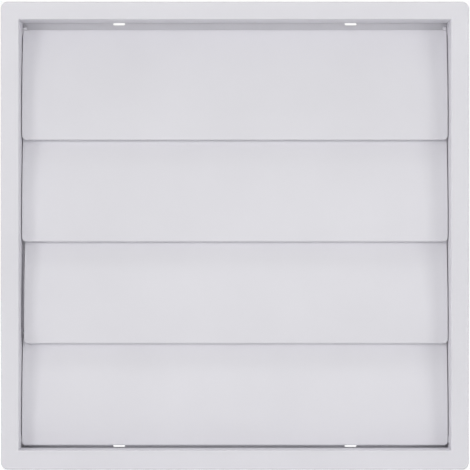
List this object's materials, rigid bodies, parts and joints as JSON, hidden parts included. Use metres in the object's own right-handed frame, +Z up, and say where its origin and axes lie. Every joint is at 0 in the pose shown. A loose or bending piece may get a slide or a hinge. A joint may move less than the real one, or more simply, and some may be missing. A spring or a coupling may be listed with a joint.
{
  "type": "exterior ventilation grille",
  "caption": "Square outdoor vent grille of pale grey plastic: a flat flange and four curved, overlapping, top-hung flaps that swing forward and close by their own weight.",
  "frame": {"origin": "middle of the screw hole pattern, in the back face that lies against the wall", "axes": "+X across to the right as seen from the front, +Y into the wall, +Z up; the front faces -Y"},
  "size_m": [0.25, 0.025, 0.25],
  "materials": {
    "grey_plastic": "satin, injection moulded",
    "pin_steel": "drawn wire, bright"
  },
  "bodies": {
    "frame": {"frame": "grey_plastic"},
    "flap_1": {"flap_1": "grey_plastic", "pin_1_left": "pin_steel", "pin_1_right": "pin_steel"},
    "flap_2": {"flap_2": "grey_plastic", "pin_2_left": "pin_steel", "pin_2_right": "pin_steel"},
    "flap_3": {"flap_3": "grey_plastic", "pin_3_left": "pin_steel", "pin_3_right": "pin_steel"},
    "flap_4": {"flap_4": "grey_plastic", "pin_4_left": "pin_steel", "pin_4_right": "pin_steel"}
  },
  "joints": [
    {"name": "flap_1_hinge", "type": "hinge", "parent": "frame", "child": "flap_1", "pos_m": [0, -0.0044, 0.1125], "axis": [-1, 0, 0], "range_deg": [0, 80]},
    {"name": "flap_2_hinge", "type": "hinge", "parent": "frame", "child": "flap_2", "pos_m": [0, -0.0044, 0.05752], "axis": [-1, 0, 0], "range_deg": [0, 80]},
    {"name": "flap_3_hinge", "type": "hinge", "parent": "frame", "child": "flap_3", "pos_m": [0, -0.0044, 0.00255], "axis": [-1, 0, 0], "range_deg": [0, 80]},
    {"name": "flap_4_hinge", "type": "hinge", "parent": "frame", "child": "flap_4", "pos_m": [0, -0.0044, -0.05242], "axis": [-1, 0, 0], "range_deg": [0, 80]}
  ],
  "couplings": [
    {"joint": "flap_2_hinge", "follows": "flap_1_hinge", "ratio": 1},
    {"joint": "flap_3_hinge", "follows": "flap_1_hinge", "ratio": 1},
    {"joint": "flap_4_hinge", "follows": "flap_1_hinge", "ratio": 1}
  ]
}
